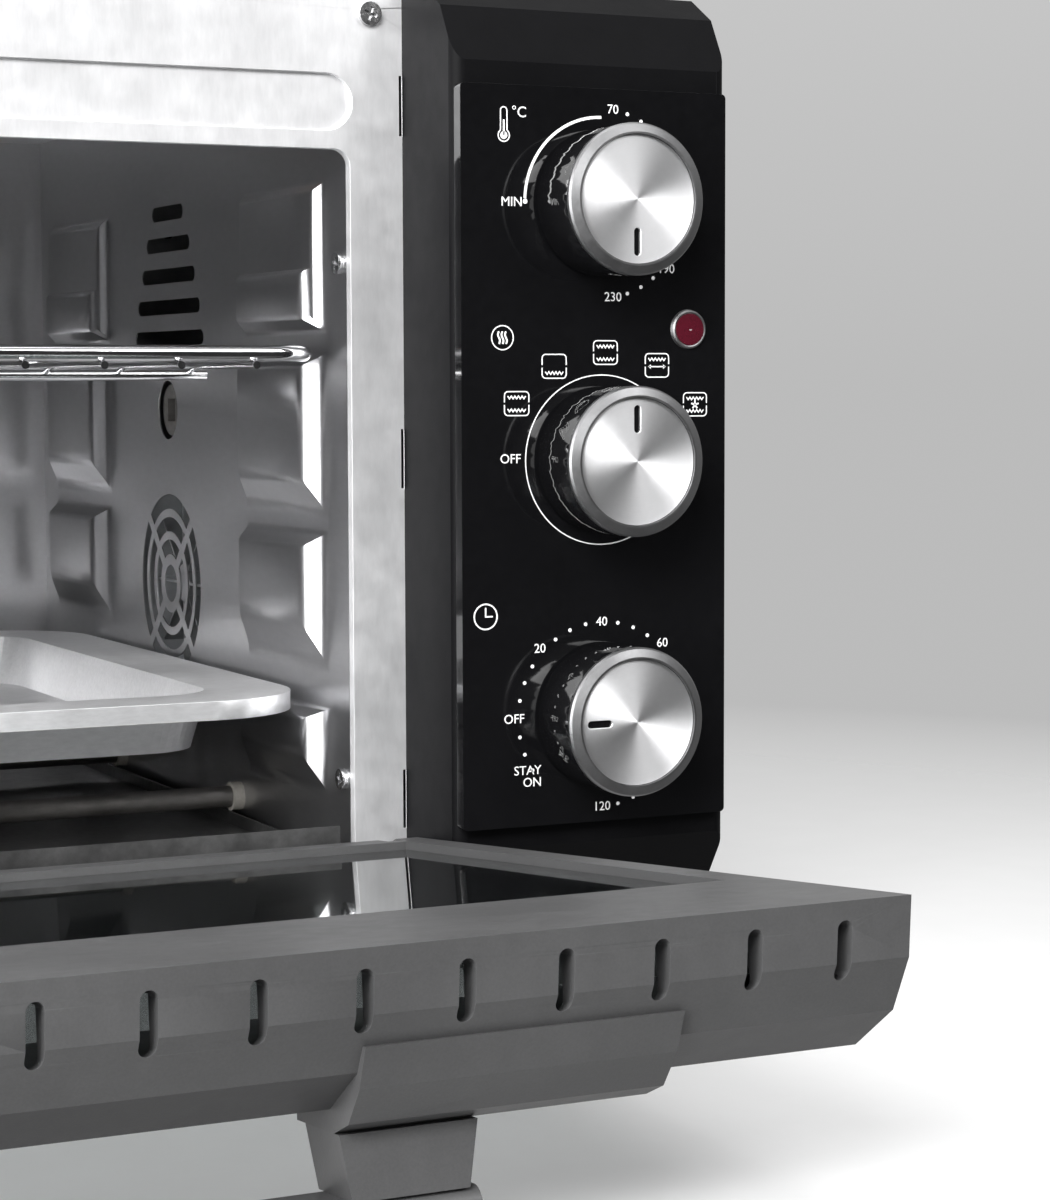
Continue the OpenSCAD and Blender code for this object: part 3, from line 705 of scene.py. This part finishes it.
class OVEN_OT_sheet_metal(bpy.types.Operator):
    """Finish the front frame, the cavity, the cabinet and the trays"""

    bl_idname = "oven.sheet_metal"
    bl_label = "Sheet metal"

    def execute(self, context):
        colours = context.scene.oven_finish
        plated = finish_material(
            "plated_steel", colours.plated_steel, 0.50, 0.75, marks=(14.0, 0.14), tone=0.06,
            grain=(700.0, 1.0, 1.0, 0.25), bump=0.2, bump_depth=0.0001,
        )
        cavity = finish_material(
            "cavity_steel", colours.cavity_steel, 0.32, 1.0, marks=(7.0, 0.05), tone=0.05,
            grain=(500.0, 1.0, 0.3, 1.0), bump=0.08, bump_depth=0.0001,
        )
        tray = finish_material(
            "tray_steel", (0.84, 0.84, 0.85), 0.46, 0.8, marks=(18.0, 0.12), tone=0.08,
            grain=(800.0, 0.3, 1.0, 1.0), bump=0.12, bump_depth=0.0001,
        )
        dull = finish_material(
            "crumb_tray_steel", (0.20, 0.20, 0.20), 0.42, 1.0, marks=(9.0, 0.16), tone=0.25,
            grain=(300.0, 1, 1, 1), bump=0.15, bump_depth=0.0001,
        )
        paint = finish_material(
            "cabinet_paint", colours.cabinet_black, 0.52, marks=(12.0, 0.1), tone=0.15,
            grain=(1400.0, 1, 1, 1), bump=0.5, bump_depth=0.00015, specular_ior_level=0.15,
        )
        zinc = finish_material(
            "zinc_sheet", (0.50, 0.51, 0.52), 0.42, 1.0, marks=(40.0, 0.2), tone=0.16,
            grain=(60.0, 1, 1, 1), bump=0.08,
        )
        put_on(plated, "front_frame")
        walls = ("ceiling", "floor", "left_wall", "right_wall", "back_wall")
        put_on(cavity, *("cavity_" + wall for wall in walls))
        put_on(tray, "baking_tray")
        put_on(dull, "crumb_tray")
        put_on(paint, "cabinet_shell")
        put_on(zinc, "back_panel", "base_pan", "hinge_lugs", "timer_body", "fan_shroud", "fan_motor",
               "fan_impeller", "rotisserie_motor")
        soften(0.0005, "front_frame", "baking_tray")
        smooth_facets("cavity_left_wall", "cavity_right_wall")
        return {"FINISHED"}


class OVEN_OT_plastics(bpy.types.Operator):
    """Finish the housing, the door's frame, the handle, the knobs and the small mouldings"""

    bl_idname = "oven.plastics"
    bl_label = "Plastics"

    def execute(self, context):
        colours = context.scene.oven_finish
        # Two copies of one black plastic: the housing's darker colour is painted shade, the door's and
        # handle's lighter colour is painted light.
        housing = finish_material(
            "housing_black", colours.housing_black, 0.46, marks=(16.0, 0.1), tone=0.15,
            grain=(1500.0, 1, 1, 1), bump=0.3, bump_depth=0.0001, specular_ior_level=0.05,
        )
        satin = finish_material(
            "satin_black_plastic", colours.satin_black, 0.44, marks=(16.0, 0.1), tone=0.12,
            grain=(1500.0, 1, 1, 1), bump=0.3, bump_depth=0.0001,
        )
        gloss = finish_material(
            "gloss_black_plate", colours.gloss_black, 0.07, marks=(9.0, 0.05), tone=0.2,
            grain=(300.0, 1, 1, 1), bump=0.01,
        )
        knob = finish_material(
            "knob_black", colours.gloss_black, 0.06, marks=(30.0, 0.05), tone=0.2,
            grain=(200.0, 1, 1, 1), bump=0.01, coat_weight=1.0, coat_roughness=0.02,
        )
        nylon = finish_material(
            "gland_nylon", (0.025, 0.025, 0.026), 0.55, marks=(40.0, 0.1),
            grain=(900.0, 1, 1, 1), bump=0.2,
        )
        rubber = finish_material(
            "foot_rubber", (0.02, 0.02, 0.02), 0.8, marks=(50.0, 0.1),
            grain=(700.0, 1, 1, 1), bump=0.4,
        )
        resin = finish_material("tan_resin", (0.38, 0.24, 0.13), 0.5, marks=(50.0, 0.1), bump=0.1)
        white = finish_material(
            "white_insulator", (0.42, 0.40, 0.36), 0.45, marks=(60.0, 0.1), bump=0.1
        )
        put_on(housing, "control_housing", "feet", "rear_spacers")
        put_on(satin, "door_frame", "handle_posts", "handle_grip")
        put_on(gloss, "control_plate")
        put_on(knob, *(name + "_knob" for name in KNOBS))
        put_on(nylon, "cord_gland")
        put_on(rubber, "foot_pads")
        put_on(resin, "thermostat_body")
        put_on(white, "selector_switch", "terminal_block", "element_insulators")
        soften(0.0012, "control_housing", "handle_posts")
        soften(0.0010, "door_frame")
        soften(0.0004, "control_plate", "feet", "cord_gland", *(name + "_knob" for name in KNOBS))
        return {"FINISHED"}


class OVEN_OT_bright_metal(bpy.types.Operator):
    """Finish the knobs' discs and rings, the rack, the bezel, the screws and the elements"""

    bl_idname = "oven.bright_metal"
    bl_label = "Bright metal"

    def execute(self, context):
        spun = radial_tangent(finish_material(
            "spun_aluminium", (0.90, 0.90, 0.91), 0.62, 1.0, marks=(60.0, 0.04), tone=0.05,
            grain=(60.0,), bump=0.06, bump_depth=0.00005, grain_group="spun", anisotropic=0.82,
            anisotropic_rotation=0.25,
        ))
        ring = finish_material(
            "satin_ring", (0.27, 0.27, 0.275), 0.42, 1.0, marks=(60.0, 0.08), tone=0.06, bump=0.05
        )
        chrome = finish_material(
            "chrome_wire", (0.78, 0.78, 0.79), 0.12, 1.0, marks=(40.0, 0.1), tone=0.08,
            grain=(400.0, 1, 1, 1), bump=0.12, bump_depth=0.0001,
        )
        screw = finish_material(
            "screw_steel", (0.66, 0.66, 0.67), 0.22, 1.0, marks=(120.0, 0.12), tone=0.1, bump=0.1
        )
        sheath = finish_material(
            "element_sheath", (0.22, 0.21, 0.20), 0.45, 0.8, marks=(35.0, 0.2), tone=0.3,
            grain=(300.0, 0.2, 1, 1), bump=0.25,
        )
        copper = finish_material(
            "copper_bulb", (0.62, 0.30, 0.17), 0.35, 1.0, marks=(90.0, 0.15), bump=0.1
        )
        put_on(spun, *(name + "_disc" for name in KNOBS))
        put_on(ring, *(name + "_ring" for name in KNOBS), "indicator_bezel")
        put_on(chrome, "wire_rack")
        put_on(screw, "frame_screws", "cavity_screws", "back_screws", "foot_screws", "handle_screws",
               "hinge_pins", "element_terminals", "thermal_cutout", *(name + "_shaft" for name in KNOBS))
        put_on(sheath, "upper_heating_elements", "lower_heating_elements", "rotisserie_socket")
        put_on(copper, "thermostat_bulb")
        soften(0.00025, "frame_screws", "cavity_screws", "back_screws")
        soften(0.00015, *(name + "_disc" for name in KNOBS))
        return {"FINISHED"}


class OVEN_OT_glazing(bpy.types.Operator):
    """Finish the two door panes and the indicator lens"""

    bl_idname = "oven.glazing"
    bl_label = "Glass and lens"

    def execute(self, context):
        colours = context.scene.oven_finish
        clear = finish_material(
            "clear_glass", colours.glass_tint, 0.02, marks=(8.0, 0.02), tone=0.03,
            grain=(30.0, 1, 1, 1), bump=0.004, transmission_weight=1.0,
        )
        lens = finish_material(
            "lens_red", colours.lens_red, 0.12, marks=(80.0, 0.05), tone=0.15,
            grain=(500.0, 1, 1, 1), bump=0.05, coat_weight=1.0, coat_roughness=0.05,
        )
        put_on(clear, "door_inner_glass", "door_outer_glass")
        put_on(lens, "indicator_lens")
        return {"FINISHED"}


# ---- Operators: prints ----


class OVEN_OT_temperature_print(bpy.types.Operator):
    """Print the temperature dial and its thermometer"""

    bl_idname = "oven.temperature_print"
    bl_label = "Temperature dial"

    def execute(self, context):
        sizes = context.scene.oven_print
        art = Print(middle("temperature_disc"), sizes.ink)
        first, last = 8.0, 172.0
        coldest, hottest = 70, 230
        for mark in range(coldest, hottest + 1, 10):
            turn = first + (last - first) * (mark - coldest) / (hottest - coldest)
            if mark in (coldest, hottest):
                art.write(str(mark), *on_circle(sizes.scale, turn), sizes.letter)
            elif mark in (110, 150, 190):
                art.write(str(mark), *on_circle(sizes.scale + 0.0012, turn), sizes.letter)
            else:
                art.dot(*on_circle(sizes.scale, turn), sizes.dot)
        art.arc(sizes.ring, -88, 0, sizes.thick_line)
        art.dot(-sizes.ring + 0.0001, 0, sizes.dot * 1.3)
        art.write("MIN", -sizes.ring - 0.0045, -0.0003, sizes.letter)
        self.thermometer(art, sizes, -0.0337, 0.0237)
        art.finish("temperature_print", ink_material())
        return {"FINISHED"}

    def thermometer(self, art, sizes, x, z):
        """Outline of a thermometer with a filled bulb, and the unit beside it."""
        bulb, stem, length = 0.0019, 0.0011, 0.0075
        bottom, top = z - length / 2, z + length / 2
        art.dot(x, bottom, bulb * 0.62)
        start = math.degrees(math.asin(stem / bulb))
        art.arc(bulb, start, 360 - start, sizes.line, x, bottom)
        art.arc(stem, -90, 90, sizes.line, x, top)
        foot = bottom + bulb * math.cos(math.radians(start))
        for side in (-stem, stem):
            art.line([(x + side, foot), (x + side, top)], sizes.line)
        art.line([(x, bottom), (x, z + 0.001)], sizes.line * 1.6)
        art.write("°C", x + 0.0052, top - 0.0004, sizes.letter * 1.15)


class OVEN_OT_function_print(bpy.types.Operator):
    """Print the function dial with its symbols"""

    bl_idname = "oven.function_print"
    bl_label = "Function dial"

    def execute(self, context):
        sizes = context.scene.oven_print
        art = Print(middle("function_disc"), sizes.ink)
        art.arc(sizes.ring, 0, 360, sizes.line)
        art.write("OFF", -sizes.ring - 0.0052, 0.0006, sizes.letter)
        symbols = (
            (-0.0296, 0.0178, ("top", "bottom")),
            (-0.0166, 0.0293, ("bottom",)),
            (0.0014, 0.0336, ("top", "bottom")),
            (0.0198, 0.0296, ("top", "spit")),
            (0.0336, 0.0172, ("top", "bottom", "fan")),
        )
        for x, z, parts in symbols:
            self.symbol(art, sizes, x, z, parts)
        self.warmth(art, sizes, -0.0344, 0.0381)
        art.finish("function_print", ink_material())
        return {"FINISHED"}

    def symbol(self, art, sizes, x, z, parts):
        """A rounded frame that holds wavy elements, a spit or a fan."""
        half_w, half_h, corner, gap = 0.0042, 0.0037, 0.0012, 0.0004
        for up in (1, -1):
            outline = [(x - half_w, z + up * gap)]
            for side in (-1, 1):
                for step in range(5):
                    dx, dz = on_circle(corner, 22.5 * (4 - step if side < 0 else step))
                    reach, rise = half_w - corner + dx, half_h - corner + dz
                    outline.append((x + side * reach, z + up * rise))
            outline.append((x + half_w, z + up * gap))
            art.line(outline, sizes.line)
        for part, level in (("top", 0.0019), ("bottom", -0.0021)):
            if part in parts:
                self.element(art, sizes, x, z + level)
        if "spit" in parts:
            axis, tip, barb, spread = z - 0.0004, 0.0032, 0.0022, 0.0007
            art.line([(x - 0.003, axis), (x + 0.003, axis)], sizes.line)
            for side in (-1, 1):
                points = [(x + side * tip, axis)]
                points += [(x + side * barb, axis + shift) for shift in (spread, -spread)]
                art.face(points[::side])
        if "fan" in parts:
            hub = z - 0.0001
            for blade in range(5):
                across, up = on_circle(0.0014, 72 * blade)
                art.line([(x, hub), (x + across, hub + up)], sizes.line * 1.5)

    def element(self, art, sizes, x, z):
        """A zigzag heating element."""
        pitch, height, peaks = 0.00062, 0.00042, 11
        art.line([(x - 0.0031 + pitch * i, z + height * (-1) ** i) for i in range(peaks)], sizes.line)

    def warmth(self, art, sizes, x, z):
        """Three rising waves in a circle."""
        swing, height, steps = 0.00035, 0.0038, 8
        art.arc(0.0037, 0, 360, sizes.line, x, z)
        for shift in (-0.0012, 0.0, 0.0012):
            wave = []
            for i in range(steps + 1):
                sway = swing * math.sin(i * math.pi / 4)
                wave.append((x + shift + sway, z - height / 2 + height * i / steps))
            art.line(wave, sizes.line * 1.6)


class OVEN_OT_timer_print(bpy.types.Operator):
    """Print the timer dial and its clock"""

    bl_idname = "oven.timer_print"
    bl_label = "Timer dial"

    def execute(self, context):
        sizes = context.scene.oven_print
        art = Print(middle("timer_disc"), sizes.ink)
        step = 11.25
        numbers = {0: "OFF", 4: "20", 8: "40", 12: "60", 18: "90", 24: "120"}
        set_out = (0, 4, 12)
        for i in range(-3, 25):
            turn = -90 + i * step
            if i in numbers:
                reach = sizes.scale + (0.0014 if i in set_out else 0.0)
                art.write(numbers[i], *on_circle(reach, turn), sizes.letter)
            else:
                art.dot(*on_circle(sizes.scale, turn), sizes.dot)
        art.write("STAY", -0.0262, -0.0164, sizes.letter)
        art.write("ON", -0.0246, -0.0202, sizes.letter)
        x, z, radius = -0.0405, 0.0325, 0.0039
        width = sizes.line * 1.3
        art.arc(radius, 0, 360, width, x, z)
        art.line([(x, z + radius * 0.72), (x, z), (x + radius * 0.62, z)], width)
        art.finish("timer_print", ink_material())
        return {"FINISHED"}


class OVEN_PT_panel(bpy.types.Panel):
    """Buttons for each step, in the order they are run"""

    bl_idname = "OVEN_PT_panel"
    bl_label = "Toaster oven"
    bl_space_type = "VIEW_3D"
    bl_region_type = "UI"
    bl_category = "Oven"

    def draw(self, context):
        for step in STEPS:
            self.layout.operator(step.bl_idname)
        for group in ("oven_stage", "oven_finish", "oven_print"):
            settings = getattr(context.scene, group)
            box = self.layout.box()
            for key in settings.__annotations__:
                box.prop(settings, key)


STEPS = (
    OVEN_OT_camera,
    OVEN_OT_stage,
    OVEN_OT_sheet_metal,
    OVEN_OT_plastics,
    OVEN_OT_bright_metal,
    OVEN_OT_glazing,
    OVEN_OT_temperature_print,
    OVEN_OT_function_print,
    OVEN_OT_timer_print,
)
SETTINGS = {
    "oven_stage": OvenStageSettings,
    "oven_finish": OvenFinishSettings,
    "oven_print": OvenPrintSettings,
}


def register():
    """Registers the settings, the steps and the panel."""
    for cls in (*SETTINGS.values(), *STEPS, OVEN_PT_panel):
        bpy.utils.register_class(cls)
    for key, cls in SETTINGS.items():
        setattr(bpy.types.Scene, key, bpy.props.PointerProperty(type=cls))


def unregister():
    """Removes what register added."""
    for key in SETTINGS:
        delattr(bpy.types.Scene, key)
    for cls in (OVEN_PT_panel, *reversed(STEPS), *reversed(SETTINGS.values())):
        bpy.utils.unregister_class(cls)


def main():
    """Runs every step in order."""
    register()
    for step in STEPS:
        group, name = step.bl_idname.split(".")
        getattr(getattr(bpy.ops, group), name)()


if __name__ == "__main__":
    main()
